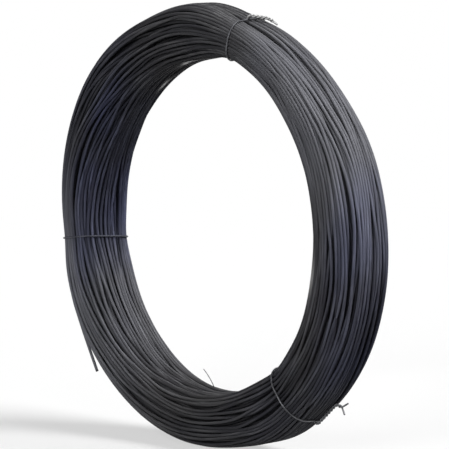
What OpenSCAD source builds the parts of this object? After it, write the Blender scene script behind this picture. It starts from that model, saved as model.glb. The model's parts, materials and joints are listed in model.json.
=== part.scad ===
// Coil of annealed steel wire, standing on its rim, with three tie wires round the winding.
// The origin is on the floor under the middle of the coil. +Y runs along the coil's axis, and +Z is up.
// All lengths are in millimetres and all angles in degrees.

/* [Coil] */
// Diameter of the bore that the innermost turns leave open
bore_d = 430; // [340:5:520]
// Thickness of the winding, from the bore to the outside
build_up = 70; // [62:1:90]
// Width of the winding along the coil's axis
coil_w = 92; // [78:1:130]
// Rounding of the winding's four corners, seen in section
corner_r = 30; // [22:1:30]

/* [Wire] */
// Diameter of the coiled wire
wire_d = 4; // [3:0.1:5]
// Depth by which the outermost turns are pressed flat at their crowns
crown_flat = 0.12; // [0.05:0.01:0.2]
// Length of the loose end that springs away from the last turn
loose_end = 80; // [40:1:90]

/* [Ties] */
// Diameter of the tie wire
tie_d = 2.2; // [1.6:0.1:2.5]
// Gap on each side of a tie in the notch that it presses into the turns
tie_gap = 0.2; // [0.1:0.05:0.5]
// Length of one full turn of a tie's twisted ends
twist_pitch = 9.5; // [9.5:0.5:14]
// Length of the twisted part that lies along the winding
twist_lay = 28; // [16:1:32]
// Length of each cut end past the twist
cut_end = 8; // [4:1:12]

/* [Hidden] */
$fn = 48;
bore_r = bore_d / 2;
outer_r = bore_r + build_up;
wire_r = wire_d / 2;
section_r = min(corner_r, (min(build_up, coil_w) - wire_r) / 2);

// Depths below the winding's skin: the wire centres, and the floors of the grooves between two turns.
centre_depth = wire_r - crown_flat;
groove_depth = wire_r / 2;

// The loose end leaves from this angle, counted from +X towards +Z, and springs out by the kick.
loose_angle = 208.5;
loose_kick = 1.5;

// A tie's round section is drawn with eight sides, so that its flats are a little nearer than its edges.
tie_r = tie_d / 2;
tie_sides = 8;
tie_flat_r = tie_r * cos(180 / tie_sides);
notch_depth = tie_r + tie_flat_r;
// The two ends of a tie turn out of the notch with this radius, and twist round each other at this distance.
turn_out_r = tie_d;
strand_r = tie_r * 1.06;
// The twisted ends fold over at this radius.
fold_r = 1.5 * tie_d;

// Distances of two knots from the middle of the coil's width, and the length of twist that the lower tie lifts
// off the winding. Its twist is longer than the others' and its cut ends are shorter.
upper_knot = tie_d;
lower_knot = -4 * wire_d;
lower_lift = 3 * tie_d;
lower_lay = 1.2 * twist_lay;
lower_cut = 0.75 * cut_end;

// Each tie: angle round the coil, tilt of its plane, whether its knot sits on the back corner (1) or on
// the outside (0), distance of the knot from the middle, direction in which the twist folds over,
// fall of the twist as it starts and as it ends, angle at which it lifts off the winding, length off the
// winding, spread of its cut ends, whether they spread in the plane of the fold (0) or across it (90), length
// of the twist and length of the cut ends.
upper = [74.5, 14.5, 0, upper_knot, 225, 2, 25, 0, 0, 0.2, 90, twist_lay, cut_end];
left = [186.9, 5, 1, 0, -90, 5, 5, 0, 0, 0.2, 90, twist_lay, cut_end];
lower = [306.5, -12.5, 0, lower_knot, 90, 8, 8, 60, lower_lift, 1.1, 0, lower_lay, lower_cut];

// ---- the winding's section ----
// It is drawn as distance out from the bore and height along the axis from the back end.

function flat_u() = build_up - 2 * section_r;
function flat_v() = coil_w - 2 * section_r;
function corner_point(u, v, r, angle) = [u + r * cos(angle), v + r * sin(angle)];

// A point at the distance s along the wire centres, moved to a depth below the skin. The distance starts at
// the bore and runs by the front end to the outside.
quarter = PI / 2 * (section_r - centre_depth);
function skin_point(s, depth) =
    let (r = section_r - depth, a = flat_u(), b = flat_v(), q = quarter)
    s < b ? [depth, section_r + s]
    : s < b + q ? corner_point(section_r, coil_w - section_r, r, 180 - (s - b) / q * 90)
    : s < b + q + a ? [section_r + s - b - q, coil_w - depth]
    : s < b + 2 * q + a ? corner_point(build_up - section_r, coil_w - section_r, r, 90 - (s - b - q - a) / q * 90)
    : s < 2 * b + 2 * q + a ? [build_up - depth, coil_w - section_r - (s - b - 2 * q - a)]
    : s < 2 * b + 3 * q + a ? corner_point(build_up - section_r, section_r, r, -(s - 2 * b - 2 * q - a) / q * 90)
    : s < 2 * b + 3 * q + 2 * a ? [build_up - section_r - (s - 2 * b - 3 * q - a), depth]
    : corner_point(section_r, section_r, r, -90 - (s - 2 * b - 3 * q - 2 * a) / q * 90);

skin_length = 2 * flat_u() + 2 * flat_v() + 4 * quarter;
turns = floor(skin_length / wire_d);
turn_step = skin_length / turns;
// The last turn is the one nearest the middle of the front outer corner.
last_turn = round((flat_v() + flat_u() + 1.5 * quarter) / turn_step - 0.5);

module round_rectangle(u, v, r) {
    translate([r, 0]) square([u - 2 * r, v]);
    translate([0, r]) square([u, v - 2 * r]);
    for (x = [r, u - r], y = [r, v - r])
        translate([x, y]) circle(r);
}

// A turn's crown is a round wire's, drawn with short straights: the groove, the flank and the pressed flat.
flank_at = 0.75 * wire_r;
flat_at = sqrt(wire_r * wire_r - centre_depth * centre_depth);
crown = [
    [-turn_step / 2, groove_depth],
    [-flank_at, centre_depth - sqrt(wire_r * wire_r - flank_at * flank_at)],
    [-flat_at, 0],
    [flat_at, 0],
    [flank_at, centre_depth - sqrt(wire_r * wire_r - flank_at * flank_at)]
];

module winding_section() {
    polygon([for (i = [0 : turns - 1], p = crown) skin_point((i + 0.5) * turn_step + p[0], p[1])]);
}

module loose_wire_end() {
    start = skin_point((last_turn + 0.5) * turn_step, centre_depth);
    rotate([0, 0, loose_angle]) translate([bore_r + start[0], 0, start[1] - coil_w / 2])
        rotate([-90, 0, -loose_kick]) cylinder(h = loose_end, r = wire_r);
}

// ---- the ties ----
// A tie lies in its own plane: first coordinate out from the bore, second round the coil, third along the axis.

module in_tie_plane(tie) {
    rotate([0, 0, tie[0]]) translate([bore_r, 0, 0]) rotate([tie[1], 0, 0]) children();
}

function tie_half_w(tie) = coil_w / 2 / cos(tie[1]);

module tie_notch(tie) {
    half_w = tie_half_w(tie);
    floor_r = section_r - notch_depth;
    in_tie_plane(tie) rotate([90, 0, 0]) linear_extrude(tie_d + 2 * tie_gap, center = true) difference() {
        translate([-wire_r, -half_w - wire_r]) square([build_up + wire_d, 2 * half_w + wire_d]);
        translate([notch_depth, notch_depth - half_w])
            round_rectangle(build_up - 2 * notch_depth, 2 * half_w - 2 * notch_depth, floor_r);
    }
}

// The loop's corners are eight short straights each, all touching the notch's floor.
corner_steps = 8;
function loop_corner(i, tie) =
    let (
        quarter = floor(i / corner_steps),
        angle = (i + 0.5) * 90 / corner_steps,
        r = (section_r - tie_r) / cos(45 / corner_steps),
        u = quarter == 0 || quarter == 3 ? build_up - section_r : section_r,
        v = (quarter < 2 ? 1 : -1) * (tie_half_w(tie) - section_r)
    )
    [u + r * cos(angle), 0, v + r * sin(angle)];

// The loop runs from the knot round the section and back to the knot.
function loop_points(tie) =
    tie[2] == 0 ? [for (i = [0 : 4 * corner_steps - 1]) loop_corner(i, tie)]
    : [for (k = [1 : 4 * corner_steps - 2]) loop_corner((k + 3.5 * corner_steps) % (4 * corner_steps), tie)];

// The knot's place, and its directions: out of the winding, and along the tie.
function knot_place(tie) =
    let (r = section_r - tie_r, half_w = tie_half_w(tie) - section_r)
    tie[2] == 0 ? [build_up - tie_r, 0, tie[3]]
    : [build_up - section_r + r * cos(45), 0, -half_w - r * sin(45)];
function knot_out(tie) = tie[2] == 0 ? [1, 0, 0] : [cos(45), 0, -sin(45)];
function knot_along(tie) = tie[2] == 0 ? [0, 0, 1] : [sin(45), 0, cos(45)];

// An end turns out of the notch along a quarter circle, and side is 1 or -1.
turn_steps = 5;
function turn_out(tie, side) = [for (i = [0 : turn_steps])
    let (angle = 90 * i / turn_steps)
    knot_place(tie) + knot_along(tie) * side * (strand_r + turn_out_r * (1 - sin(angle)))
        + knot_out(tie) * turn_out_r * (1 - cos(angle))];

// The twisted ends follow a middle line that rises, folds over, lies along the winding and may lift off again.
twist_step = twist_pitch / 10.5;
fold_length = fold_r * PI / 2;
function lift_length(tie) = 2 * fold_r * tie[7] * PI / 180;
function twist_length(tie) = fold_length + tie[11] + lift_length(tie) + tie[8];
function twist_count(tie) = ceil((twist_length(tie) + tie[12]) / twist_step);
function heading(s, tie) = lookup(s, [
    [0, 90],
    [fold_length, -tie[5]],
    [fold_length + tie[11] / 2, -tie[5]],
    [fold_length + tie[11], -tie[6]],
    [fold_length + tie[11] + lift_length(tie) + 0.001, tie[7] - tie[6]]
]);
function fold_direction(tie) = knot_along(tie) * cos(tie[4]) + [0, 1, 0] * sin(tie[4]);
function twist_line(tie) =
    let (out = knot_out(tie), fold = fold_direction(tie))
    [for (
        i = 0, p = knot_place(tie) + out * turn_out_r;
        i <= twist_count(tie);
        a = heading((i + 0.5) * twist_step, tie), p = p + twist_step * (out * sin(a) + fold * cos(a)), i = i + 1
    ) p];

// The two strands start beside each other along the tie, and twist from the fold to the cut ends. The pitch is
// eased so that the cut ends spread in the plane that the tie's list gives.
function strand(tie, side) =
    let (
        line = twist_line(tie),
        b = cross(knot_out(tie), fold_direction(tie)),
        start = atan2(knot_along(tie) * b, -(knot_along(tie) * fold_direction(tie))),
        twisted = twist_length(tie) - fold_length,
        end = tie[10] + 180 * round((start + 360 * twisted / twist_pitch - tie[10]) / 180)
    )
    [for (i = [1 : len(line) - 1])
        let (
            s = i * twist_step,
            a = heading(s, tie),
            n = knot_out(tie) * cos(a) - fold_direction(tie) * sin(a),
            phase = lookup(s, [[fold_length, start], [twist_length(tie), end]]),
            r = strand_r + tie[9] * max(0, s - twist_length(tie))
        )
        line[i] + side * r * (n * cos(phase) + b * sin(phase))];

function reversed(list) = [for (i = [len(list) - 1 : -1 : 0]) list[i]];
function tie_path(tie) = concat(
    reversed(strand(tie, 1)), reversed(turn_out(tie, 1)), loop_points(tie), turn_out(tie, -1), strand(tie, -1)
);

// ---- a round wire along a path ----

function unit(v) = v / norm(v);
function square_to(v, t) = unit(v - (v * t) * t);
function tangents(path) = [for (i = [0 : len(path) - 1])
    unit((i > 0 ? unit(path[i] - path[i - 1]) : [0, 0, 0])
        + (i < len(path) - 1 ? unit(path[i + 1] - path[i]) : [0, 0, 0]))];
// A direction square to the path is carried along it without turning round it.
function carried(t, first) = [for (
        i = 0, n = square_to(first, t[0]);
        i < len(t);
        i = i + 1, n = square_to(n, t[min(i, len(t) - 1)])
    ) n];
// It starts from the middle of the path, where the tie is a plain loop, and is carried both ways.
function carried_both_ways(t, first) =
    let (middle = floor(len(t) / 2))
    concat(
        reversed(carried([for (i = [middle - 1 : -1 : 0]) t[i]], first)),
        carried([for (i = [middle : len(t) - 1]) t[i]], first)
    );

module wire_along(path, first) {
    t = tangents(path);
    n = carried_both_ways(t, first);
    count = len(path);
    points = [for (i = [0 : count - 1], k = [0 : tie_sides - 1])
        let (angle = 360 * (k + 0.5) / tie_sides)
        path[i] + tie_r * (n[i] * cos(angle) + cross(t[i], n[i]) * sin(angle))];
    sides = [for (i = [0 : count - 2], k = [0 : tie_sides - 1], half = [0, 1])
        let (a = i * tie_sides + k, b = i * tie_sides + (k + 1) % tie_sides)
        half == 0 ? [a, a + tie_sides, b] : [b, a + tie_sides, b + tie_sides]];
    caps = [
        [for (k = [0 : tie_sides - 1]) k],
        [for (k = [tie_sides - 1 : -1 : 0]) (count - 1) * tie_sides + k]
    ];
    polyhedron(points, concat(sides, caps), convexity = 10);
}

module upright() {
    translate([0, 0, outer_r]) rotate([90, 0, 0]) children();
}

module wire_coil() {
    color("#3c3d42") upright() difference() {
        union() {
            rotate_extrude() translate([bore_r, -coil_w / 2]) winding_section();
            loose_wire_end();
        }
        tie_notch(upper);
        tie_notch(left);
        tie_notch(lower);
    }
}

module tie_wire_upper() {
    color("#6a6a6c") upright() in_tie_plane(upper) wire_along(tie_path(upper), [0, 1, 0]);
}

module tie_wire_left() {
    color("#6a6a6c") upright() in_tie_plane(left) wire_along(tie_path(left), [0, 1, 0]);
}

module tie_wire_lower() {
    color("#6a6a6c") upright() in_tie_plane(lower) wire_along(tie_path(lower), [0, 1, 0]);
}

wire_coil();
tie_wire_upper();
tie_wire_left();
tie_wire_lower();
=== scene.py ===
"""Looks for the coil of annealed wire: its turns as strands, its loose end and its three tie wires.

All lengths are in metres, in the row frame: the coil's axis runs along Y, its front end faces -Y, and it
stands on its rim on the floor. A place in the winding is given by three numbers. The angle u is counted
round the coil from +X towards +Z. p is the distance out from the bore. q is the distance from the middle
of the width, and is positive towards the front end.
"""

import json
import math
from types import SimpleNamespace

import bpy
import numpy as np
from mathutils import Matrix, Vector

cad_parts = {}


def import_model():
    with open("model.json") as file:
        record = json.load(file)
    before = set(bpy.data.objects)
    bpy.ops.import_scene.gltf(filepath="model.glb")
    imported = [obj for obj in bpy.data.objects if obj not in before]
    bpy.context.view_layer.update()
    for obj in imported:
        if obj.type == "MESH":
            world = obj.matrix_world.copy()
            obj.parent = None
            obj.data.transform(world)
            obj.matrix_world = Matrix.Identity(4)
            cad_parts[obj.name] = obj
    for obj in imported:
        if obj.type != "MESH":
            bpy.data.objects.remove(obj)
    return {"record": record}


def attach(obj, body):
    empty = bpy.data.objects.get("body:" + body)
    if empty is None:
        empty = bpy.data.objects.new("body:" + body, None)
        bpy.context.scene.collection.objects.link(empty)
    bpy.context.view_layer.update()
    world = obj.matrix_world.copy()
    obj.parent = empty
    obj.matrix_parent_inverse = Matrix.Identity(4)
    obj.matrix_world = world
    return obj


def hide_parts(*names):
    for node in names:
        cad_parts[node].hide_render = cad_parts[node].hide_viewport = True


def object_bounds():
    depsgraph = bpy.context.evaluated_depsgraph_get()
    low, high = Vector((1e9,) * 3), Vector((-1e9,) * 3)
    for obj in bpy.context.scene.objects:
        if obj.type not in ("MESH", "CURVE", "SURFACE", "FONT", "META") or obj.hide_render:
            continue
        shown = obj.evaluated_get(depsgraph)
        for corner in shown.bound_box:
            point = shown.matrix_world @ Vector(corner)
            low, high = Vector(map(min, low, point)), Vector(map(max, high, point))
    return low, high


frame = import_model()
cad_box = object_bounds()

MM = 0.001
TURN = 2 * math.pi

# ---- sizes ----
# The coil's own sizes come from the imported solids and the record.
lowest, highest = cad_box
OUTER_R = (highest.z - lowest.z) / 2
BORE_R = frame["record"]["mounts"][0]["dims"]["r_mm"] * MM
COIL_W = highest.y - lowest.y
BUILD_UP = OUTER_R - BORE_R

# The wires and the section's corners have the sizes that the solids are drawn with.
CORNER_R = 30 * MM
WIRE_D = 4 * MM
WIRE_R = WIRE_D / 2
TIE_D = 2.2 * MM
TIE_R = TIE_D / 2

# ---- the winding's shape round the coil ----
# A soft coil isn't quite round: two ties draw it in, it is loose between them, and it sags on the floor.
# Each entry: its angle and its reach round the coil in degrees, and how far it moves the outside, the bore,
# the width and the lean to the front, in millimetres.
SLACK = {
    "drawn_in_right": (38, 8, -2.0, -2.5, 0.0, 0.0),
    "tight_top_right": (59, 22, -12.0, 10.0, -8.0, 2.0),
    "top": (89, 18, 0.0, 0.0, -2.0, -1.0),
    "raised_crown": (93, 8, 4.5, -4.0, 0.0, 0.0),
    "loose_inside_top_left": (114, 9, 0.0, -2.2, 0.0, 0.0),
    "full_top_left": (139, 15, 9.0, -8.0, 0.0, 0.0),
    "pinched_left": (180, 9, -5.5, 1.5, 0.0, 0.0),
    "narrow_left": (189, 29, -0.5, 0.8, -2.5, -0.5),
    "loose_left": (211, 12, 4.0, -0.5, -0.5, 1.0),
    "open_bottom_left": (240, 14, 0.5, 2.5, 0.0, 0.0),
    "flat_bottom": (283, 13, -5.0, -1.5, 0.0, 0.0),
    "full_at_lower_tie": (297, 11, 4.0, -3.5, 0.0, 0.0),
    "full_bottom_right": (327, 19, 6.0, -3.5, 0.0, 0.0),
    "right": (5, 12, -1.8, -2.2, 0.0, 0.0),
}


def hump(u, middle, reach):
    """A smooth hump of height 1 at the middle angle: a bell over the angle's difference, in degrees."""
    away = (np.degrees(u) - middle + 180) % 360 - 180
    return np.exp(-((away / reach) ** 2) / 2)


def shape_at(u):
    """The outside's radius, the bore's radius, the width and the lean at each angle, in metres."""
    sizes = [OUTER_R, BORE_R, COIL_W, 0.0]
    for middle, reach, *changes in SLACK.values():
        h = hump(u, middle, reach) * MM
        sizes = [size + change * h for size, change in zip(sizes, changes)]
    return sizes


def section_at(u):
    """The settled section at each angle: the bore's radius, the build-up, width, lean and rim's radius."""
    outer, bore, width, lean = shape_at(u)
    build = outer - bore
    return bore, build, width, lean, CORNER_R * build / BUILD_UP


# The coil's middle stands at the height at which the lowest place of its outside touches the floor.
ALL_ROUND = np.radians(np.arange(0, 360, 0.5))
SETTLED_Z = float(np.max(-np.sin(ALL_ROUND) * shape_at(ALL_ROUND)[0]))


def settled(u, p, q):
    """A place in the even winding, moved to the settled one: the distance from the axis and the place across.

    The even section is a rounded rectangle: a plain core box, with a rim of the corner's radius all round it.
    The core box is stretched to the settled size, and the rim is put round it again. So a place keeps its
    depth under the skin and its direction from the core box."""
    bore, build, width, lean, rim = section_at(u)
    core_p, core_q = BUILD_UP / 2 - CORNER_R, COIL_W / 2 - CORNER_R
    cp = np.clip(p - BUILD_UP / 2, -core_p, core_p)
    cq = np.clip(q, -core_q, core_q)
    vp, vq = p - BUILD_UP / 2 - cp, q - cq
    length = np.maximum(np.hypot(vp, vq), 1e-9)
    keep = (rim - (CORNER_R - length)) / length
    new_p = build / 2 + cp / core_p * (build / 2 - rim) + vp * keep
    new_q = lean + cq / core_q * (width / 2 - rim) + vq * keep
    return bore + new_p, new_q


def under_skin(u, r, q):
    """How far each place lies under the settled skin: the rim's radius less the distance to the core box."""
    bore, build, width, lean, rim = section_at(u)
    x, y = r - bore - build / 2, q - lean
    beyond_x = np.maximum(np.abs(x) - (build / 2 - rim), 0)
    beyond_y = np.maximum(np.abs(y) - (width / 2 - rim), 0)
    return rim - np.hypot(beyond_x, beyond_y)


def world(u, r, q):
    """Points in the row frame from the angle, the distance from the axis and the place across the width."""
    return np.stack([r * np.cos(u), -q, SETTLED_Z + r * np.sin(u)], axis=-1)


# ---- the rim ----
# The even section's rim: straight stretches and quarter circles, measured along the wires' centres.
FLAT_P, FLAT_Q = BUILD_UP - 2 * CORNER_R, COIL_W - 2 * CORNER_R
ARC = math.pi / 2 * (CORNER_R - WIRE_R)
RIM_ENDS = np.cumsum([0, FLAT_Q, ARC, FLAT_P, ARC, FLAT_Q, ARC, FLAT_P, ARC])
RIM_LENGTH = RIM_ENDS[-1]

# Shares of the way round the rim: two corners towards the front, the back corner's end at the bore, and the
# bore's edge towards the front.
FRONT_INNER = (FLAT_Q + 0.525 * ARC) / RIM_LENGTH
FRONT_OUTER = (FLAT_Q + FLAT_P + 1.5 * ARC) / RIM_LENGTH
BACK_INNER = 1 - 0.05 * ARC / RIM_LENGTH
BORE_FRONT = (FLAT_Q - 2 * MM) / RIM_LENGTH


def rim_place(share, depth):
    """A place in the even section, at a share of the way round its rim and at a depth below the skin.

    The way starts at the back of the bore, and runs by the front end to the outside and by the back end to
    its start. Straight stretches and quarter circles follow each other. The depth is taken off the radius."""
    way = (share % 1.0) * RIM_LENGTH
    stretch = np.clip(np.searchsorted(RIM_ENDS, way, side="right") - 1, 0, 7)
    along = way - RIM_ENDS[stretch]
    core = np.array([[-1, -1], [-1, 1], [1, 1], [1, -1]]) * [FLAT_P / 2, FLAT_Q / 2]
    forward = np.array([[0, 1], [1, 0], [0, -1], [-1, 0]])
    out = np.array([[-1, 0], [0, 1], [1, 0], [0, -1]])
    side, curved = stretch // 2, stretch % 2 == 1
    bend = np.where(curved, along / ARC * math.pi / 2, 0.0)[..., None]
    direction = out[side] * np.cos(bend) + forward[side] * np.sin(bend)
    corner = core[(side + curved) % 4] + np.where(curved, 0, along)[..., None] * forward[side]
    place = corner + direction * (CORNER_R - depth)[..., None]
    return place[..., 0] + BUILD_UP / 2, place[..., 1]


# ---- the ties' measures ----
# Angles are in degrees. angle is the tie's place round the coil, and tilt is how far its plane is turned. The
# knot sits on the back corner, or on the outside at knot_q from the middle. fold is the direction in which
# the twist folds over, fall and late_fall are how steeply it dips as it starts and as it ends, and lift and
# off are the angle and the length by which it leaves the winding. spread is how fast its cut ends part, in
# the plane of the fold where spread_plane is 0 and across it where it is 90. lay and cut_end are the lengths
# of the twist and of the cut ends. The last number written in each tie's entry is the share of painted
# highlight on its twist where it stands off the winding.
LAID_DOWN = {"lift": 0, "off": 0, "spread": 0.2, "spread_plane": 90, "lay": 28 * MM, "cut_end": 8 * MM}
LIFTED = {"lift": 60, "off": 6.6 * MM, "spread": 1.1, "spread_plane": 0, "lay": 33.6 * MM, "cut_end": 6 * MM}
TIES = {
    "tie_wire_upper": SimpleNamespace(
        angle=74.5, tilt=14.5, on_corner=False, knot_q=2.2 * MM,
        fold=225, fall=2, late_fall=25, glint_share=0.8, **LAID_DOWN,
    ),
    "tie_wire_left": SimpleNamespace(
        angle=186.9, tilt=5, on_corner=True, knot_q=0,
        fold=-90, fall=5, late_fall=5, glint_share=0.0, **LAID_DOWN,
    ),
    "tie_wire_lower": SimpleNamespace(
        angle=307.1, tilt=-12.5, on_corner=False, knot_q=-6.5 * MM,
        fold=90, fall=8, late_fall=8, glint_share=0.1, **LIFTED,
    ),
}

# The two strands of a twist lie so far from its middle line, make one turn in a pitch, and are worked out in
# short steps. An end turns out of the notch on one radius, and the twist folds over and lifts on another.
STRAND_R = 1.06 * TIE_R
TWIST_PITCH = 9.5 * MM
TWIST_STEP = 0.4 * MM
TURN_OUT_R = TIE_D
FOLD_R = 1.5 * TIE_D

# A tie's loop is drawn in steps of so many degrees round each corner, and stops so many steps short of a knot
# that sits on a corner. Its whole line is then drawn with a point at each even step.
LOOP_STEP = 3
KNOT_STEPS = 2
TIE_POINT_STEP = 0.9 * MM

# How far round the coil a tie presses the turns beside it, in degrees.
PRESS_REACH = 5


def tie_press(u, q):
    """How far the ties press the turns in, from 0 to 1: a bell round each tie's own slanting line."""
    press = np.zeros(np.broadcast(u, q).shape)
    for tie in TIES.values():
        line = tie.angle - np.degrees(q * math.tan(math.radians(tie.tilt)) / (OUTER_R - CORNER_R))
        press = np.maximum(press, hump(u, line, PRESS_REACH))
    return press


# ---- strands ----
# Each layer from the skin inwards: its turns, the depth of their centres under the skin, how far neighbours
# drift together, and how far each turn strays by itself across the layer and in depth.
LAYERS = (
    (51, WIRE_R, 4.0 * MM, 2.2 * MM, 0.8 * MM),
    (50, WIRE_R + 3.6 * MM, 4.0 * MM, 3.0 * MM, 0.5 * MM),
    (42, WIRE_R + 7.4 * MM, 4.0 * MM, 3.0 * MM, 0.5 * MM),
)

# A wire has a point at each station round the coil, from the angle at which the loose end leaves the winding.
STATIONS = 216
LOOSE_ANGLE = 208.5
STATION_ANGLE = np.radians(LOOSE_ANGLE) + np.arange(STATIONS) / STATIONS * TURN

# The loose end's length, and the angle in degrees by which it is kicked out.
LOOSE_END = 80 * MM
LOOSE_KICK = 1.5

# A wander has between so many waves a turn. Gaps open where one rises over the threshold, and so many turns on
# each side share the room that they take. Two more move each turn by itself, across the layer and in depth.
GAP_WAVES = (2, 8)
GAP_THRESHOLD = 0.2
GAP_NEIGHBOURS = 3
STRAY_WAVES = (1, 4)
DEEP_STRAY_WAVES = (2, 7)

# Strands that overlap are pushed apart by a share of the overlap, round after round, and the moves are evened
# over so many stations. The outermost ones may stand proud of the skin by a little.
SETTLE_ROUNDS = 70
PUSH_SHARE = 0.4
STIFF_REACH = 1.6
PROUD = 0.12 * MM

# Short humps along a wire are worked out over so many stations on each side.
HUMP_STATIONS = 40

# The sides of each layer's round wire, fewer the deeper it lies, and of a tie's.
SKIN_SIDES, SECOND_SIDES, THIRD_SIDES = 8, 6, 5
TIE_SIDES = 10

rng = np.random.default_rng(7)


def wander(turns, waves_low, waves_high, count=24):
    """Slow wander along one wire of so many turns: cosines with random phases, closed end to end, summed."""
    angle = np.arange(turns * STATIONS) / (turns * STATIONS) * TURN
    total = np.zeros(turns * STATIONS)
    for _ in range(count):
        waves = rng.integers(int(waves_low * turns), int(waves_high * turns))
        total += np.cos(angle * waves + rng.uniform(0, TURN))
    return (total / math.sqrt(count / 2)).reshape(turns, STATIONS)


def shared_drift(share, count=8):
    """Sideways drift that neighbours share: cosines of the share of the rim and of the angle, summed."""
    total = np.zeros(share.shape)
    for _ in range(count):
        across, along = rng.integers(1, 4), rng.integers(1, 4) * rng.choice([-1, 1])
        total += np.cos(TURN * across * share + along * STATION_ANGLE + rng.uniform(0, TURN))
    return total / math.sqrt(count / 2)


def laid_turns(turns, depth, drift, stray, deep_stray):
    """The places of a layer's turns before they settle: rows are turns, and columns are stations.

    The turns lie side by side, in bundles. The spare room round the rim goes to gaps that open and close
    slowly where a wander rises over a threshold. Their sums across the turns, less the mean of the nearest
    neighbours, move the turns. Each turn moves on by one place round the coil, so that the layer is one long
    wire. Drift is shared by neighbours, and both strays are each turn's own, all in metres."""
    opening = np.maximum(0, wander(turns, *GAP_WAVES) - GAP_THRESHOLD)
    opening *= (RIM_LENGTH / turns - WIRE_D) / opening.mean()
    bundled = np.cumsum(opening - opening.mean(axis=0), axis=0)
    beside = range(-GAP_NEIGHBOURS, GAP_NEIGHBOURS + 1)
    bundled = bundled - np.mean([np.roll(bundled, k, axis=0) for k in beside], axis=0)
    step = (np.arange(turns)[:, None] + np.arange(STATIONS) / STATIONS) / turns
    share = FRONT_OUTER + step + bundled / RIM_LENGTH
    share = share + (drift * shared_drift(step) + stray * wander(turns, *STRAY_WAVES)) / RIM_LENGTH
    deep = depth + deep_stray * wander(turns, *DEEP_STRAY_WAVES)
    u = np.broadcast_to(STATION_ANGLE, share.shape)
    _, q = settled(u, *rim_place(share, deep))
    return np.stack(settled(u, *rim_place(share, deep + TIE_D * tie_press(u, q))), axis=-1)


def eased(moved):
    """Moves evened along the whole wire, as a stiff wire takes them: their fast waves are taken out."""
    wire = moved.reshape(-1, 2)
    waves = np.fft.rfftfreq(len(wire)) * TURN
    soft = np.exp(-((waves * STIFF_REACH) ** 2) / 2)[:, None]
    return np.fft.irfft(np.fft.rfft(wire, axis=0) * soft, len(wire), axis=0).reshape(moved.shape)


def pushes(place):
    """The push on each strand at each station: the sum of its overlaps with all others, away from them."""
    push = np.zeros_like(place)
    for i in range(len(place)):
        apart = place[i] - place
        gap = np.hypot(apart[..., 0], apart[..., 1])
        gap[i] = WIRE_D
        near = np.maximum(WIRE_D - gap, 0) / np.maximum(gap, 1e-6)
        push[i] = (apart * near[..., None]).sum(axis=0)
    return push


def kept_in(place):
    """Places held under the settled skin, and deeper where a tie presses: those beyond it go back to it."""
    bore, build, width, lean, rim = section_at(STATION_ANGLE)
    middle = bore + build / 2
    x, y = place[..., 0] - middle, place[..., 1] - lean
    core_x = np.clip(x, rim - build / 2, build / 2 - rim)
    core_y = np.clip(y, rim - width / 2, width / 2 - rim)
    away = np.maximum(np.hypot(x - core_x, y - core_y), 1e-6)
    least = WIRE_R - PROUD + TIE_D * tie_press(STATION_ANGLE, y)
    keep = np.minimum(1.0, (rim - least) / away)
    held_x = middle + core_x + (x - core_x) * keep
    held_y = lean + core_y + (y - core_y) * keep
    return np.stack([held_x, held_y], axis=-1)


def settle_turns(layers):
    """Pushes strands apart where they overlap, evens the moves along the wires, and keeps them in."""
    splits = np.cumsum([len(places) for places in layers])[:-1]
    start = np.concatenate(layers)
    moved = np.zeros_like(start)
    for _ in range(SETTLE_ROUNDS):
        moved = moved + PUSH_SHARE * pushes((start + moved).astype(np.float32))
        moved = np.concatenate([eased(part) for part in np.split(moved, splits)])
        place = kept_in(start + moved)
        moved = place - start
    return np.split(place, splits)


def nearest_turn(place, angle, share):
    """The turn nearest to a share of the rim at an angle: its number, the station and the way out."""
    station = int(round((angle - LOOSE_ANGLE) % 360 / 360 * STATIONS)) % STATIONS
    u = STATION_ANGLE[station : station + 1]
    skin = np.stack(settled(u, *rim_place(np.array([share]), np.array([WIRE_R]))), axis=-1)[0]
    above = np.stack(settled(u, *rim_place(np.array([share]), np.array([0.0]))), axis=-1)[0]
    turn = np.argmin(np.linalg.norm(place[:, station] - skin, axis=-1))
    return turn, station, (above - skin) / np.linalg.norm(above - skin)


def short_hump(turn, station, reach):
    """Rows of the whole wire on both sides of a station, and a smooth hump of height 1 along them."""
    away = np.arange(-HUMP_STATIONS, HUMP_STATIONS + 1)
    return turn * STATIONS + station + away, np.exp(-((away * 360 / STATIONS / reach) ** 2) / 2)


def bow_out(place, angle, share, reach, height):
    """Lifts the turn nearest to a share of the rim off the winding, by a smooth hump round an angle."""
    turn, station, out = nearest_turn(place, angle, share)
    rows, h = short_hump(turn, station, reach)
    wire = place.reshape(-1, 2)
    wire[rows] += height * h[:, None] * out
    return wire.reshape(place.shape)


def glint_marks():
    """Painted glints, as bright steel on turns of the skin: angle, share of the rim, reach in degrees,
    brightness.

    One mark slants over the turns of the bore at the top, one lies on a turn behind it, and one runs down the
    turns beside the one that bows out at the right."""
    next_turn = WIRE_D / RIM_LENGTH
    slanting = [(97 + 2 * k, BORE_FRONT - k * next_turn, 1.6, 1.0) for k in range(4)]
    behind = [(122, BACK_INNER, 2.6, 0.8)]
    beside_bow = [(348, FRONT_INNER + k * next_turn, 4.5, 0.55) for k in (-1, 0, 1)]
    return slanting + behind + beside_bow


def painted_glints(place, marks):
    """How bright each point's painted glint is: short humps along the turns nearest to the marks."""
    glint = np.zeros(place.size // 2)
    for angle, share, reach, brightness in marks:
        turn, station, _ = nearest_turn(place, angle, share)
        rows, h = short_hump(turn, station, reach)
        glint[rows] = np.maximum(glint[rows], brightness * h)
    return glint


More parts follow.
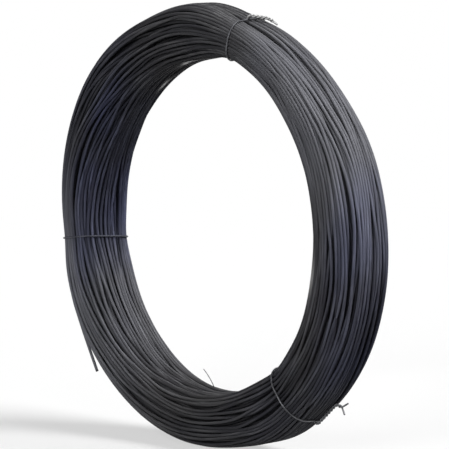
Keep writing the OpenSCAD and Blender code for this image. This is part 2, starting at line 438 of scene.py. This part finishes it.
def loose_end(points=23):
    """The wire's loose end, tangent to the last turn and kicked out: angle, radius and place across."""
    p, q = rim_place(np.array([FRONT_OUTER]), np.array([WIRE_R - PROUD]))
    along = np.linspace(0, LOOSE_END, points + 1)[1:]
    x = BORE_R + p + along * math.sin(math.radians(LOOSE_KICK))
    y = along * math.cos(math.radians(LOOSE_KICK))
    u = math.radians(LOOSE_ANGLE) + np.arctan2(y, x)
    r, across = settled(u, np.hypot(x, y) - BORE_R, np.full(x.shape, q[0]))
    return u, r, across


# ---- tie lines ----
# A tie's plane has three directions: out from the bore, round the coil, and along the axis to the front.


def tie_loop(half_w, on_corner):
    """The loop that hugs the section: quarter circles with straights between, from the knot round to it."""
    radius = CORNER_R - TIE_R
    angle = np.radians(np.arange(LOOP_STEP / 2, 360, LOOP_STEP))
    if on_corner:
        angle = np.roll(angle, 45 // LOOP_STEP)[KNOT_STEPS:-KNOT_STEPS]
    quarter = np.floor(np.degrees(angle) / 90)
    outside = (quarter == 0) | (quarter == 3)
    p = np.where(outside, BUILD_UP - CORNER_R, CORNER_R) + radius * np.cos(angle)
    q = np.where(quarter < 2, 1, -1) * (half_w - CORNER_R) + radius * np.sin(angle)
    return np.stack([p, np.zeros_like(p), q], axis=-1)


def knot_of(tie, half_w):
    """The knot's place, and its directions out of the winding and along the tie."""
    if tie.on_corner:
        out, along = np.array([1, 0, -1]) / math.sqrt(2), np.array([1, 0, 1]) / math.sqrt(2)
        corner = np.array([BUILD_UP - CORNER_R, 0, CORNER_R - half_w])
        return corner + out * (CORNER_R - TIE_R), out, along
    return np.array([BUILD_UP - TIE_R, 0, tie.knot_q]), np.array([1.0, 0, 0]), np.array([0, 0, 1.0])


def twisted_ends(tie, knot, out, along):
    """Both ends of a tie, from the loop on: each turns out of the notch, and they twist round each other.

    An end turns out on a quarter circle. The twist's middle line rises, folds over, dips along the winding
    and may lift off it, and its heading is eased from one to the next along its length. The two ends are
    circles round that line, half a turn apart. Their phase ends in the plane in which the cut ends spread."""
    fold = math.cos(math.radians(tie.fold)) * along + math.sin(math.radians(tie.fold)) * np.array([0, 1.0, 0])
    across = np.cross(out, fold)
    fold_length = FOLD_R * math.pi / 2
    lift_length = 2 * FOLD_R * math.radians(tie.lift)
    laid = fold_length + tie.lay
    twisted = laid + lift_length + tie.off
    s = np.arange(0, twisted + tie.cut_end, TWIST_STEP)
    lengths = [0, fold_length, fold_length + tie.lay / 2, laid, laid + lift_length + 1e-6]
    angles = [90, -tie.fall, -tie.fall, -tie.late_fall, tie.lift - tie.late_fall]
    heading = np.radians(np.interp(s, lengths, angles))
    ahead = out * np.sin(heading)[:, None] + fold * np.cos(heading)[:, None]
    middle = knot + out * TURN_OUT_R + np.cumsum(ahead * TWIST_STEP, axis=0)
    start = math.degrees(math.atan2(along @ across, -(along @ fold)))
    turned = start + 360 * (twisted - fold_length) / TWIST_PITCH
    end = tie.spread_plane + 180 * round((turned - tie.spread_plane) / 180)
    phase = np.radians(np.interp(s, [fold_length, twisted], [start, end]))
    radius = STRAND_R + tie.spread * np.maximum(0, s - twisted)
    normal = out * np.cos(heading)[:, None] - fold * np.sin(heading)[:, None]
    ring = (normal * np.cos(phase)[:, None] + across * np.sin(phase)[:, None]) * radius[:, None]
    quarter = np.linspace(0, math.pi / 2, 9)[:, None]
    rise = out * TURN_OUT_R * (1 - np.cos(quarter))
    ends = []
    for side in (1, -1):
        turn_out = knot + along * side * (STRAND_R + TURN_OUT_R * (1 - np.sin(quarter))) + rise
        ends.append(np.concatenate([turn_out, middle + side * ring]))
    return ends


def tie_wire_line(tie):
    """A tie's whole line in its own plane: one end, the loop round the section, and the other end."""
    half_w = COIL_W / 2 / math.cos(math.radians(tie.tilt))
    first, second = twisted_ends(tie, *knot_of(tie, half_w))
    return np.concatenate([first[::-1], tie_loop(half_w, tie.on_corner), second])


def resampled(path, step):
    """The same line with its points an even step apart."""
    run = np.concatenate([[0], np.cumsum(np.linalg.norm(np.diff(path, axis=0), axis=-1))])
    even = np.linspace(0, run[-1], int(run[-1] / step))
    return np.stack([np.interp(even, run, path[:, k]) for k in range(3)], axis=-1)


def tie_path(tie):
    """The tie's line laid on the settled winding, in the row frame."""
    x, y, z = resampled(tie_wire_line(tie), TIE_POINT_STEP).T
    tilt = math.radians(tie.tilt)
    x = x + BORE_R
    y, z = y * math.cos(tilt) - z * math.sin(tilt), y * math.sin(tilt) + z * math.cos(tilt)
    u = math.radians(tie.angle) + np.arctan2(y, x)
    r, q = settled(u, np.hypot(x, y) - BORE_R, z)
    return world(u, r, q)


# ---- meshes ----


def unit(v):
    """Directions brought to length 1."""
    return v / np.maximum(np.linalg.norm(v, axis=-1, keepdims=True), 1e-12)


def round_wire(path, toward, radius, sides, closed=False):
    """A round wire along a path: rings square to the path, each started from its point's own direction.

    A ring's points are the path's point, plus the radius times the cosine and sine of even angles along two
    directions that are square to the path and to each other."""
    if closed:
        ahead = unit(np.roll(path, -1, axis=0) - np.roll(path, 1, axis=0))
    else:
        ahead = unit(np.gradient(path, axis=0))
    first = unit(toward - ahead * (toward * ahead).sum(axis=-1, keepdims=True))
    second = np.cross(ahead, first)
    angle = ((np.arange(sides) + 0.5) / sides * TURN)[:, None]
    return path[:, None] + radius * (first[:, None] * np.cos(angle) + second[:, None] * np.sin(angle))


def carried_direction(path, start):
    """A direction square to the path at each point, carried along it without turning round it.

    At each point the last direction is freed of its share along the path, and brought to length 1 again."""
    ahead = unit(np.gradient(path, axis=0))
    directions, n = [], np.array(start, float)
    for t in ahead:
        n = unit(n - t * (n @ t))
        directions.append(n)
    return np.array(directions)


def tube_object(name, grid, closed, material, tone=0.0, under=0.0, glint=0.0):
    """An object from a grid of rings by sides. A closed one joins its last ring to its first, and others
    are capped.

    Its points carry the distance along the wire, the turn's tone, the distance under the winding's skin and
    how bright its painted glints are."""
    rings, sides = grid.shape[:2]
    ring, side = np.meshgrid(np.arange(rings if closed else rings - 1), np.arange(sides), indexing="ij")
    after, beside = (ring + 1) % rings, (side + 1) % sides
    corners = [ring * sides + side, ring * sides + beside, after * sides + beside, after * sides + side]
    loops = np.stack(corners, axis=-1).ravel()
    starts = np.arange(0, len(loops), 4)
    if not closed:
        caps = [np.arange(sides)[::-1], (rings - 1) * sides + np.arange(sides)]
        starts = np.concatenate([starts, [len(loops), len(loops) + sides]])
        loops = np.concatenate([loops, *caps])
    mesh = bpy.data.meshes.new(name)
    mesh.vertices.add(rings * sides)
    mesh.vertices.foreach_set("co", grid.ravel().astype(np.float32))
    mesh.loops.add(len(loops))
    mesh.loops.foreach_set("vertex_index", loops.astype(np.int32))
    mesh.polygons.add(len(starts))
    mesh.polygons.foreach_set("loop_start", starts.astype(np.int32))
    mesh.update(calc_edges=True)
    mesh.shade_smooth()
    centre = grid.mean(axis=1)
    run = np.concatenate([[0], np.cumsum(np.linalg.norm(np.diff(centre, axis=0), axis=-1))])
    for label, values in (("along", run), ("tone", tone), ("under", under), ("glint", glint)):
        at_points = np.repeat(np.broadcast_to(values, run.shape), sides).astype(np.float32)
        mesh.attributes.new(label, "FLOAT", "POINT").data.foreach_set("value", at_points)
    mesh.materials.append(material)
    piece = bpy.data.objects.new(name, mesh)
    bpy.context.collection.objects.link(piece)
    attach(piece, "root")
    return piece


def strands_object(name, place, sides, material, tail=None, marks=()):
    """A layer's turns as one long round wire. With a tail it ends there, and without one it is closed."""
    u = np.tile(STATION_ANGLE, len(place))
    r, q = place.reshape(-1, 2).T
    glint = painted_glints(place, marks)
    if tail is not None:
        u, r, q = (np.concatenate(pair) for pair in zip((u, r, q), tail))
        glint = np.concatenate([glint, np.zeros(len(tail[0]))])
    toward = np.stack([np.cos(u), np.zeros_like(u), np.sin(u)], axis=-1)
    grid = round_wire(world(u, r, q), toward, WIRE_R, sides, tail is None)
    turn = np.arange(len(u)) // STATIONS
    tone = rng.uniform(0, 1, turn.max() + 2)
    share = (np.arange(len(u)) % STATIONS) / STATIONS
    blend = tone[turn] * (1 - share) + tone[turn + 1] * share
    under = under_skin(u, r, q) - WIRE_R
    piece = tube_object(name, grid, tail is None, material, blend, under, glint)
    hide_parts("wire_coil")
    return piece


# ---- materials ----
# Colours of the annealed wire: its scale where it is black and where it is blue-black, where it is rubbed and
# where painted light falls, and painted shade down between the turns. The painted blue light multiplies a
# colour.
SCALE_BLACK = (0.033, 0.032, 0.033)
SCALE_BLUE = (0.034, 0.034, 0.039)
# Rubbed scale, which also stands as painted light where the light falls.
RUBBED_AND_LIT_SCALE = (0.155, 0.155, 0.16)
# The painted shade between the turns, which the wire takes on deeper under the skin.
PAINTED_SHADE_BETWEEN_TURNS = (0.012, 0.012, 0.014)
# Painted blue light: the tint that a bluish light from the right gives.
PAINTED_BLUE_LIGHT = (0.87, 0.95, 1.54)
# Bright steel paints the glints on the wires and the highlight on a tie's twist.
BRIGHT_STEEL = (0.4, 0.4, 0.4)

# Colours of the ties' wire: at its marks, where it is rubbed, and towards the left, where it is darker and
# bluer.
TIE_MARKED = (0.045, 0.046, 0.052)
TIE_RUBBED = (0.15, 0.152, 0.165)
TIE_LEFT_SIDE = (0.045, 0.048, 0.068)


def new_material(name):
    """A new material, its node tree and its shader."""
    material = bpy.data.materials.new(name)
    material.use_nodes = True
    tree = material.node_tree
    return material, tree, tree.nodes["Principled BSDF"]


def node(tree, kind, **settings):
    """A node with its settings."""
    made = tree.nodes.new(kind)
    for key, value in settings.items():
        setattr(made, key, value)
    return made


def maths(tree, operation, first, second=0.0, third=0.0):
    """A Math node on numbers or on other nodes' outputs."""
    made = node(tree, "ShaderNodeMath", operation=operation)
    for socket, value in zip(made.inputs, (first, second, third)):
        if isinstance(value, float):
            socket.default_value = value
        else:
            tree.links.new(value, socket)
    return made.outputs[0]


def ranged(tree, value, low, high, to_low, to_high):
    """A value brought from one range to another, smoothly and held at its ends."""
    made = node(tree, "ShaderNodeMapRange", interpolation_type="SMOOTHSTEP")
    made.inputs["From Min"].default_value, made.inputs["From Max"].default_value = low, high
    made.inputs["To Min"].default_value, made.inputs["To Max"].default_value = to_low, to_high
    tree.links.new(value, made.inputs["Value"])
    return made.outputs["Result"]


def blended(tree, share, first, second, blend_type="MIX"):
    """Two colours mixed by a share. Each is a colour or another node's output."""
    made = node(tree, "ShaderNodeMix", data_type="RGBA", blend_type=blend_type)
    tree.links.new(share, made.inputs["Factor"])
    for socket, value in ((made.inputs[6], first), (made.inputs[7], second)):
        if isinstance(value, tuple):
            socket.default_value = (*value, 1)
        else:
            tree.links.new(value, socket)
    return made.outputs[2]


def attribute(tree, name):
    """A number that the mesh's points carry."""
    return node(tree, "ShaderNodeAttribute", attribute_name=name).outputs["Fac"]


def noise(tree, vector, scale, detail, rough=0.55):
    """Noise of about so many lumps a metre. A vector in other units takes a scale of 1."""
    made = node(tree, "ShaderNodeTexNoise")
    made.inputs["Scale"].default_value = scale
    made.inputs["Detail"].default_value = detail
    made.inputs["Roughness"].default_value = rough
    tree.links.new(vector, made.inputs["Vector"])
    return made.outputs["Fac"]


def coordinates(tree):
    """The place on the object, and its x, y and height over the coil's middle."""
    place = node(tree, "ShaderNodeTexCoord").outputs["Object"]
    parts = node(tree, "ShaderNodeSeparateXYZ")
    tree.links.new(place, parts.inputs[0])
    x, y, z = parts.outputs
    return place, x, y, maths(tree, "SUBTRACT", z, SETTLED_Z)


def distance_from_axis(tree, x, height):
    """How far a place lies from the coil's axis."""
    return maths(tree, "SQRT", maths(tree, "MULTIPLY_ADD", x, x, maths(tree, "MULTIPLY", height, height)))


def distance_towards(tree, x, height, degrees):
    """How far a place lies from the coil's axis towards an angle."""
    share = maths(tree, "MULTIPLY", x, math.cos(math.radians(degrees)))
    return maths(tree, "MULTIPLY_ADD", height, math.sin(math.radians(degrees)), share)


def new_group(name, inputs, outputs):
    """An empty node group with named number inputs and number outputs."""
    tree = bpy.data.node_groups.new(name, "ShaderNodeTree")
    for label, value in inputs.items():
        socket = tree.interface.new_socket(label, in_out="INPUT", socket_type="NodeSocketFloat")
        socket.default_value = value
    for label in outputs:
        tree.interface.new_socket(label, in_out="OUTPUT", socket_type="NodeSocketFloat")
    return tree, tree.nodes.new("NodeGroupInput").outputs, tree.nodes.new("NodeGroupOutput").inputs


def drawn_marks_group():
    """Marks left by drawing and annealing: fine streaks along the wire, scale patches, rubs and grain.

    The streaks read a place across the wire, which is the distance from the coil's axis and the place along
    it, and the distance along the wire, which is scaled down so that the marks are long. The rubs are wider
    and longer streaks."""
    tree, given, out = new_group(
        "drawn_marks",
        {"Streak Width mm": 1.2, "Streak Length mm": 60.0, "Patch Size mm": 70.0},
        ("Streaks", "Patches", "Rubs", "Grain"),
    )
    place, x, y, height = coordinates(tree)
    radius = distance_from_axis(tree, x, height)
    turn_apart = maths(tree, "MULTIPLY", attribute(tree, "tone"), 40.0)
    along = attribute(tree, "along")
    width = maths(tree, "MULTIPLY", given["Streak Width mm"], MM)
    length = maths(tree, "MULTIPLY", given["Streak Length mm"], MM)

    def streaks(wider, longer, detail):
        """Noise drawn out along the wire. Each turn's tone moves it, so that two turns aren't alike."""
        mark_width = maths(tree, "MULTIPLY", width, wider)
        mark_length = maths(tree, "MULTIPLY", length, longer)
        vector = node(tree, "ShaderNodeCombineXYZ")
        tree.links.new(maths(tree, "DIVIDE", radius, mark_width), vector.inputs[0])
        tree.links.new(maths(tree, "DIVIDE", y, mark_width), vector.inputs[1])
        run = maths(tree, "ADD", maths(tree, "DIVIDE", along, mark_length), turn_apart)
        tree.links.new(run, vector.inputs[2])
        return noise(tree, vector.outputs[0], scale=1.0, detail=detail)

    tree.links.new(streaks(wider=1.0, longer=1.0, detail=3.0), out["Streaks"])
    tree.links.new(streaks(wider=4.0, longer=1.5, detail=2.0), out["Rubs"])
    patch = node(tree, "ShaderNodeVectorMath", operation="SCALE")
    tree.links.new(place, patch.inputs[0])
    tree.links.new(maths(tree, "DIVIDE", 1000.0, given["Patch Size mm"]), patch.inputs["Scale"])
    tree.links.new(noise(tree, patch.outputs[0], scale=1.0, detail=3.0), out["Patches"])
    tree.links.new(noise(tree, place, scale=1400.0, detail=2.0, rough=0.6), out["Grain"])
    return tree


DRAWN_MARKS = drawn_marks_group()


def marked(tree, streak_width, streak_length, patch_size):
    """The drawn marks placed in a material with its own sizes in millimetres."""
    marks = node(tree, "ShaderNodeGroup", node_tree=DRAWN_MARKS)
    marks.inputs["Streak Width mm"].default_value = streak_width
    marks.inputs["Streak Length mm"].default_value = streak_length
    marks.inputs["Patch Size mm"].default_value = patch_size
    return marks.outputs


def raised(tree, shader, height, distance):
    """Relief from a height, which feeds the shader's normal."""
    bump = node(tree, "ShaderNodeBump")
    bump.inputs["Strength"].default_value = 0.6
    bump.inputs["Distance"].default_value = distance
    tree.links.new(height, bump.inputs["Height"])
    tree.links.new(bump.outputs["Normal"], shader.inputs["Normal"])


def scale_rubbed_and_painted_lit(tree, marks, x, height):
    """The scale's colour: black and blue-black patches, greyer where some turns are rubbed, and paler as
    painted light where the light falls, towards the upper right, the lower left and the left rim.
    """
    patches = ranged(tree, marks["Patches"], 0.4, 0.62, 0.0, 1.0)
    scale = blended(tree, patches, SCALE_BLACK, SCALE_BLUE)
    toned = maths(tree, "MULTIPLY_ADD", attribute(tree, "tone"), 0.5, marks["Rubs"])
    rubbed = ranged(tree, toned, 0.55, 1.05, 0.0, 1.0)
    streaked = maths(tree, "MULTIPLY", ranged(tree, marks["Streaks"], 0.35, 0.7, 0.25, 1.0), rubbed)
    # Painted light: the scale is paler towards the upper right, the lower left and the left rim, where the
    # light falls.
    towards_right = distance_towards(tree, x, height, 36)
    towards_left = distance_towards(tree, x, height, 208)
    towards_rim = distance_towards(tree, x, height, 195)
    painted_light_right = ranged(tree, towards_right, 0.77 * BORE_R, 0.98 * OUTER_R, 0.0, 0.6)
    painted_light_left = ranged(tree, towards_left, 0.7 * BORE_R, OUTER_R, 0.0, 0.62)
    painted_light_rim = ranged(tree, towards_rim, BORE_R + 20 * MM, BORE_R + 45 * MM, 0.0, 0.35)
    streaked = maths(tree, "MULTIPLY_ADD", streaked, 0.75, painted_light_right)
    streaked = maths(tree, "ADD", streaked, maths(tree, "ADD", painted_light_left, painted_light_rim))
    return blended(tree, streaked, scale, RUBBED_AND_LIT_SCALE)


def blue_light_painted(tree, marks, x, height, colour):
    """A colour with a painted blue light over it, in patches: at both sides, and most by the bore at the left
    and on the outside at the right, the faces that are turned to the right.
    """
    radius = distance_from_axis(tree, x, height)
    sides = ranged(tree, maths(tree, "ABSOLUTE", x), 0.1 * OUTER_R, 0.5 * OUTER_R, 0.0, 0.13)
    towards_right = distance_towards(tree, x, height, -12)
    towards_left = distance_towards(tree, x, height, 162)
    right = ranged(tree, towards_right, 0.8 * OUTER_R, 0.97 * OUTER_R, 0.0, 0.5)
    left = ranged(tree, towards_left, 0.74 * BORE_R, BORE_R, 0.0, 0.8)
    inside = ranged(tree, radius, BORE_R + 12 * MM, BORE_R + 38 * MM, 1.0, 0.1)
    tint = maths(tree, "MULTIPLY_ADD", left, inside, maths(tree, "ADD", sides, right))
    patchy = ranged(tree, marks["Patches"], 0.3, 0.6, 0.6, 1.0)
    return blended(tree, maths(tree, "MULTIPLY", tint, patchy), colour, PAINTED_BLUE_LIGHT, "MULTIPLY")


def annealed_steel():
    """Black annealed steel: scale with painted light and painted blue light, bright steel at its painted
    glints, and painted shade down between the turns.
    """
    material, tree, shader = new_material("annealed_steel")
    marks = marked(tree, streak_width=1.2, streak_length=70.0, patch_size=150.0)
    _, x, _, height = coordinates(tree)
    glint = attribute(tree, "glint")
    colour = blue_light_painted(tree, marks, x, height, scale_rubbed_and_painted_lit(tree, marks, x, height))
    # Painted glints: by each point's share of painted glint, the colour goes to bright steel and the surface
    # turns smooth and metallic.
    colour = blended(tree, glint, colour, BRIGHT_STEEL)
    # Painted shade: the deeper the wire lies under the skin, the more its colour goes to the painted shade
    # between the turns.
    deep = ranged(tree, attribute(tree, "under"), 0.5 * MM, 5 * MM, 0.0, 0.6)
    tree.links.new(blended(tree, deep, colour, PAINTED_SHADE_BETWEEN_TURNS), shader.inputs["Base Color"])
    streaked = ranged(tree, marks["Streaks"], 0.3, 0.7, 0.66, 0.54)
    dull = maths(tree, "MULTIPLY_ADD", marks["Grain"], 0.10, streaked)
    tree.links.new(maths(tree, "MULTIPLY_ADD", glint, -0.2, dull), shader.inputs["Roughness"])
    tree.links.new(maths(tree, "MULTIPLY_ADD", glint, 0.9, 0.05), shader.inputs["Metallic"])
    shader.inputs["Specular IOR Level"].default_value = 0.08
    relief = maths(tree, "ADD", marks["Streaks"], maths(tree, "MULTIPLY", marks["Grain"], 0.5))
    raised(tree, shader, relief, 0.12 * MM)
    return material


def tie_steel():
    """The ties' steel: paler, dark at its marks, darker and bluer towards the left, and bright steel at its
    painted highlight.
    """
    material, tree, shader = new_material("tie_steel")
    marks = marked(tree, streak_width=0.7, streak_length=30.0, patch_size=25.0)
    rubbed = ranged(tree, maths(tree, "ADD", marks["Streaks"], marks["Patches"]), 0.75, 1.25, 0.0, 1.0)
    colour = blended(tree, rubbed, TIE_MARKED, TIE_RUBBED)
    _, x, _, height = coordinates(tree)
    # The ties are darker and bluer towards the left.
    towards_left = distance_towards(tree, x, height, 180)
    darker_left = ranged(tree, towards_left, 0.5 * BORE_R, BORE_R, 0.0, 0.85)
    colour = blended(tree, darker_left, colour, TIE_LEFT_SIDE)
    # Painted highlight: the colour goes to bright steel by each point's share of painted glint.
    colour = blended(tree, attribute(tree, "glint"), colour, BRIGHT_STEEL)
    tree.links.new(colour, shader.inputs["Base Color"])
    patched = ranged(tree, marks["Patches"], 0.3, 0.7, 0.42, 0.32)
    dull = maths(tree, "MULTIPLY_ADD", marks["Grain"], 0.12, patched)
    tree.links.new(dull, shader.inputs["Roughness"])
    shader.inputs["Metallic"].default_value = 0.4
    raised(tree, shader, marks["Streaks"], 0.08 * MM)
    return material


ANNEALED = annealed_steel()
TIE_STEEL = tie_steel()

# ---- the coil and its ties ----
# The core under the strands: its rings and sides, its depth under the skin, and the depth under the skin that
# sets its painted shade.
CORE_RINGS, CORE_SIDES = 120, 48
CORE_DEPTH = 10 * MM
CORE_SHADE = 8 * MM

# The turn that bows out at the right: its angle, share of the rim, reach in degrees and height.
BOWED_TURN = (347, FRONT_INNER, 10.0, 2.4 * MM)

# The direction that a tie's first ring is started from. No tie's end runs along it.
TIE_START = (0.31, 0.87, 0.38)

# The whisker: its radius, the place of its foot, its lean from foot to tip, and its bend towards the tip.
WHISKER_R = 0.55 * MM
WHISKER_FOOT = world(math.radians(262), BORE_R + 1 * MM, -18 * MM)
WHISKER_LEAN = np.array([-7.5, -6.5, 26.5]) * MM
WHISKER_BEND = np.array([-3.0, -2.5, -1.5]) * MM


def wound_strands():
    """The three layers of strands, settled together. The skin has a bowed turn, painted glints and the loose
    end.
    """
    outer, second, third = settle_turns([laid_turns(*layer) for layer in LAYERS])
    outer = bow_out(outer, *BOWED_TURN)
    strands_object("outer_turns", outer, SKIN_SIDES, ANNEALED, loose_end(), glint_marks())
    strands_object("second_turns", second, SECOND_SIDES, ANNEALED)
    strands_object("third_turns", third, THIRD_SIDES, ANNEALED)


def winding_core():
    """A ring under the strands, dark with painted shade: the settled section below the third layer, carried
    round the coil.
    """
    angles, shares = np.arange(CORE_RINGS) / CORE_RINGS * TURN, np.arange(CORE_SIDES) / CORE_SIDES
    u, share = np.meshgrid(angles, shares, indexing="ij")
    r, q = settled(u, *rim_place(share, np.full(share.shape, CORE_DEPTH)))
    grid = world(u, r, q)
    piece = tube_object("winding_core", grid, True, ANNEALED, under=CORE_SHADE)
    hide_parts("wire_coil")


def tie_wire(name, tie):
    """One tie as a round wire, with a painted highlight where it stands off the winding's skin."""
    path = tie_path(tie)
    grid = round_wire(path, carried_direction(path, TIE_START), TIE_R, TIE_SIDES)
    height = path[:, 2] - SETTLED_Z
    above = -under_skin(np.arctan2(height, path[:, 0]), np.hypot(path[:, 0], height), -path[:, 1])
    glint = tie.glint_share * np.clip(above / TIE_D, 0, 1)
    piece = tube_object(name + "_twisted", grid, False, TIE_STEEL, glint=glint)
    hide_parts(name)


def whisker(points=16, sides=8):
    """A thin cut end that stands up into the bore from between the lowest turns, bent over at its tip.

    Its middle line is the foot, plus the lean by the share along it, plus the bend by the share's square."""
    along = np.linspace(0, 1, points)[:, None]
    path = WHISKER_FOOT + WHISKER_LEAN * along + WHISKER_BEND * along**2
    grid = round_wire(path, np.broadcast_to([0.0, 1.0, 0.0], path.shape), WHISKER_R, sides)
    tube_object("cut_whisker", grid, False, TIE_STEEL)


wound_strands()
winding_core()
for name, tie in TIES.items():
    tie_wire(name, tie)
whisker()

# ---- stage ----
# The floor's colour where it is seen, and where it lights the coil.
FLOOR_SEEN = (0.7, 0.7, 0.7)
FLOOR_LIGHTING = (0.08, 0.08, 0.08)

# How far each wide light spreads, in degrees.
LIGHT_SPREAD = 35


def camera():
    """The camera looks at the coil's middle from the front right, a little above it."""
    around, above, roll = math.radians(49.0), math.radians(6.0), math.radians(-1.3)
    distance = 3.433
    back = Vector((math.sin(around) * math.cos(above), -math.cos(around) * math.cos(above), math.sin(above)))
    right = Vector((0, 0, 1)).cross(back).normalized()
    up = back.cross(right)
    right, up = (
        math.cos(roll) * right + math.sin(roll) * up,
        math.cos(roll) * up - math.sin(roll) * right,
    )
    data = bpy.data.cameras.new("camera")
    data.sensor_width = 36
    data.lens = 215.5
    data.shift_x = 0.0198
    data.shift_y = 0.0053
    data.clip_end = 100
    holder = bpy.data.objects.new("camera", data)
    bpy.context.collection.objects.link(holder)
    turn = Matrix((right, up, back)).transposed().to_4x4()
    holder.matrix_world = Matrix.Translation(Vector((0, 0, SETTLED_Z)) + back * distance) @ turn
    bpy.context.scene.camera = holder


def soft_light(name, direction, strength):
    """One wide soft light. At strength 1 it lights a white surface that faces it to white."""
    data = bpy.data.lights.new(name, "SUN")
    data.energy = strength * math.pi
    data.angle = math.radians(LIGHT_SPREAD)
    holder = bpy.data.objects.new(name, data)
    bpy.context.collection.objects.link(holder)
    holder.rotation_euler = (-Vector(direction)).to_track_quat("-Z", "Y").to_euler()


def world_light(strength):
    """An even white light from all round."""
    studio = bpy.data.worlds.new("studio")
    studio.use_nodes = True
    background = studio.node_tree.nodes["Background"]
    background.inputs["Color"].default_value = (1, 1, 1, 1)
    background.inputs["Strength"].default_value = strength
    bpy.context.scene.world = studio


def floor_white():
    """The floor's white: what is seen of it glows, and more so further out, so that it keeps the shadow."""
    material, tree, shader = new_material("floor_white")
    rays = node(tree, "ShaderNodeLightPath").outputs
    seen = maths(tree, "MAXIMUM", rays["Is Camera Ray"], rays["Is Glossy Ray"])
    seen = maths(tree, "MAXIMUM", seen, rays["Is Transmission Ray"])
    tree.links.new(blended(tree, seen, FLOOR_LIGHTING, FLOOR_SEEN), shader.inputs["Base Color"])
    shader.inputs["Roughness"].default_value = 0.9
    shader.inputs["Specular IOR Level"].default_value = 0.0
    out = node(tree, "ShaderNodeVectorMath", operation="LENGTH")
    tree.links.new(node(tree, "ShaderNodeTexCoord").outputs["Object"], out.inputs[0])
    glow = maths(tree, "MULTIPLY", seen, ranged(tree, out.outputs["Value"], 0.6, 3.0, 0.55, 1.0))
    mixed = node(tree, "ShaderNodeMixShader")
    tree.links.new(glow, mixed.inputs[0])
    tree.links.new(shader.outputs[0], mixed.inputs[1])
    tree.links.new(node(tree, "ShaderNodeEmission").outputs[0], mixed.inputs[2])
    tree.links.new(mixed.outputs[0], tree.nodes["Material Output"].inputs["Surface"])
    return material


def backdrop():
    """A wide round floor whose rim turns up in a quarter circle: one profile turned about the middle."""
    flat, rim, rim_steps, around = 25.0, 6.0, 12, 96
    inner_rings = [0.5, 1, 2, 4, 8, 16]
    bend = np.linspace(0, math.pi / 2, rim_steps)
    radius = np.concatenate([inner_rings, flat + rim * np.sin(bend)])
    height = np.concatenate([np.zeros(len(inner_rings)), rim * (1 - np.cos(bend))])
    turn = np.arange(around) / around * TURN
    x, y = radius[:, None] * np.cos(turn), radius[:, None] * np.sin(turn)
    rings = np.stack([x, y, np.broadcast_to(height[:, None], x.shape)], axis=-1).reshape(-1, 3)
    ring, side = np.meshgrid(np.arange(len(radius) - 1), np.arange(around), indexing="ij")
    inner, outer, beside = ring * around, (ring + 1) * around, (side + 1) % around
    corners = [inner + side, outer + side, outer + beside, inner + beside]
    quads = np.stack(corners, axis=-1).reshape(-1, 4).tolist()
    mesh = bpy.data.meshes.new("floor")
    mesh.from_pydata(rings.tolist(), [], [list(range(around)), *quads])
    mesh.shade_smooth()
    mesh.materials.append(floor_white())
    piece = bpy.data.objects.new("floor", mesh)
    bpy.context.collection.objects.link(piece)


camera()
backdrop()
soft_light("key_top_right", (0.5, 0.3, 0.8), 1.4)
soft_light("fill_front", (0.3, -0.9, 0.4), 0.6)
soft_light("fill_right", (0.9, -0.4, 0.2), 0.25)
world_light(0.05)
bpy.context.scene.view_settings.view_transform = "Standard"
